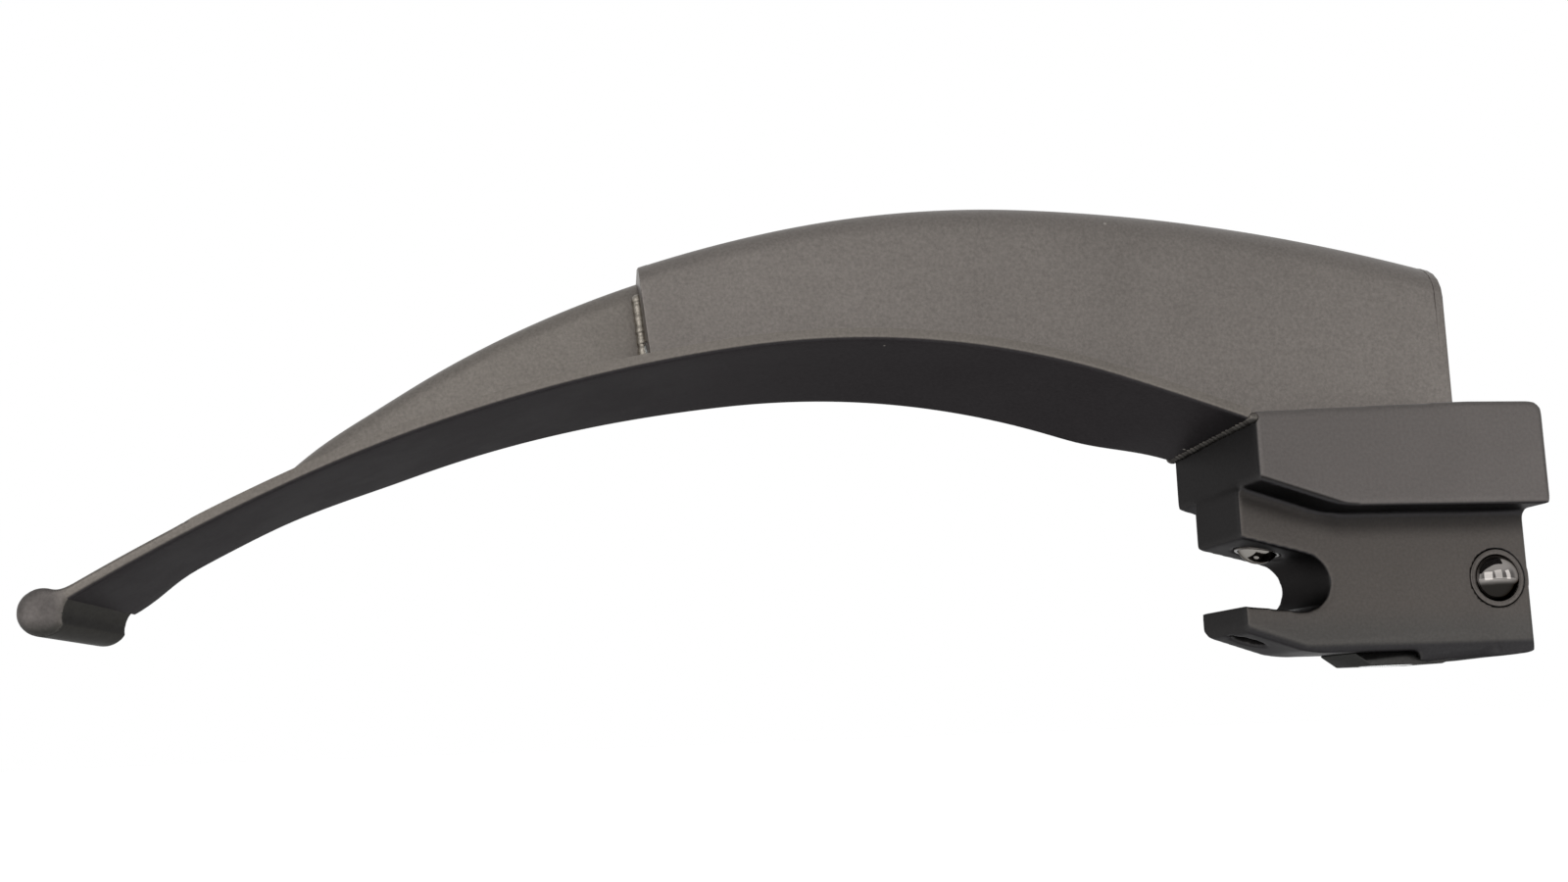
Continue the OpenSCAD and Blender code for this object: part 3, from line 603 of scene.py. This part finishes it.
# The side balls share one spring, made here as two halves
ACROSS = Vector((0, 1, 0))
coil("coil_near_half", "side_spring", ACROSS, -1)
coil("coil_far_half", "side_spring", ACROSS, 1)
coil("coil_over_hook_ball", "hook_spring", HOOK_AXIS)
finished("bonded_light_guide", quads(merged_copy("fibre_bundle"), 60), FIBRES, ["fibre_bundle"])
for name, node, width in (("exit_glass", "exit_window", 0.04), ("entry_glass", "entry_window", 0.06)):
    finished(name, soften(merged_copy(node), width * MM, 2, math.radians(50)), WINDOW, [node])


# ---------- Floor and light ----------
FLOOR_Z = -0.12
FLOOR_HALF = 6
FLOOR_GLOW = 0.42
floor_mesh = bpy.data.meshes.new("floor")
sheet = bmesh.new()
bmesh.ops.create_grid(sheet, x_segments=1, y_segments=1, size=FLOOR_HALF, matrix=Matrix.Translation((0, 0, FLOOR_Z)))
sheet.to_mesh(floor_mesh)
sheet.free()
floor = bpy.data.objects.new("floor", floor_mesh)
bpy.context.scene.collection.objects.link(floor)
# Matt white paper, with a fibre that barely shows. It glows to the rays that see it, and keeps the shadow
paper, paper_tree, paper_shader, paper_coords = start("pale_paper", {
    "Roughness": 0.9, "Specular IOR Level": 0.0, "Emission Color": (1, 1, 1, 1)})
fibre = add(paper_tree, NOISE, {"Scale": 1 / (3 * MM), "Detail": 2, "Roughness": NOISE_ROUGH},
            Vector=paper_coords.outputs["Object"])
paper_tone = add(paper_tree, MIX, COLOUR, i0=fibre, i6="f1f1f1", i7="f5f5f5")
rays = add(paper_tree, "ShaderNodeLightPath").outputs
seen = add(paper_tree, MATH, {"operation": "MAXIMUM"}, i0=rays["Is Camera Ray"], i1=rays["Is Glossy Ray"])
seen = add(paper_tree, MATH, {"operation": "MAXIMUM"}, i0=seen, i1=rays["Is Transmission Ray"])
glow = add(paper_tree, MATH, {"operation": "MULTIPLY", 1: FLOOR_GLOW}, i0=seen)
feed(paper_tree, paper_shader, Base_Color=paper_tone, Emission_Strength=glow)
floor_mesh.materials.append(paper)

# The room is dimmer in front, and light overhead. The camera sees plain white
world = bpy.data.worlds.new("studio")
world.use_nodes = True
sky = world.node_tree
way = add(sky, XYZ, None, Vector=add(sky, "ShaderNodeTexCoord").outputs["Generated"]).outputs
room = painted(sky, "ffffff", [(way["Y"], 0.1, -0.4, 1, "a0a0a0"), (way["Z"], 0.2, 0.65, 1, "f2f2f2")])
camera_ray = add(sky, "ShaderNodeLightPath").outputs["Is Camera Ray"]
room = add(sky, MIX, COLOUR, i0=camera_ray, i6=room, i7="ffffff")
feed(sky, sky.nodes["Background"], Color=room)
bpy.context.scene.world = world


def soft_box(name, place, aim, wide, high, watts):
    """A rectangular soft box that faces a point."""
    lamp = bpy.data.lights.new(name, "AREA")
    lamp.shape = "RECTANGLE"
    lamp.size = wide
    lamp.size_y = high
    lamp.energy = watts
    holder = bpy.data.objects.new(name, lamp)
    place = Vector(place)
    turn = (Vector(aim) - place).to_track_quat("-Z", "Y")
    holder.matrix_world = Matrix.Translation(place) @ turn.to_matrix().to_4x4()
    bpy.context.scene.collection.objects.link(holder)


MIDDLE = (-0.04, 0, 0.01)
soft_box("left_box", (-0.50, -0.48, 0.12), MIDDLE, 0.46, 0.50, 1.3)
soft_box("front_box", (-0.02, -0.72, 0.20), MIDDLE, 0.40, 0.50, 0.72)
soft_box("right_box", (0.46, -0.50, 0.12), MIDDLE, 0.24, 0.40, 0.5)

bpy.context.scene.view_settings.view_transform = "Standard"
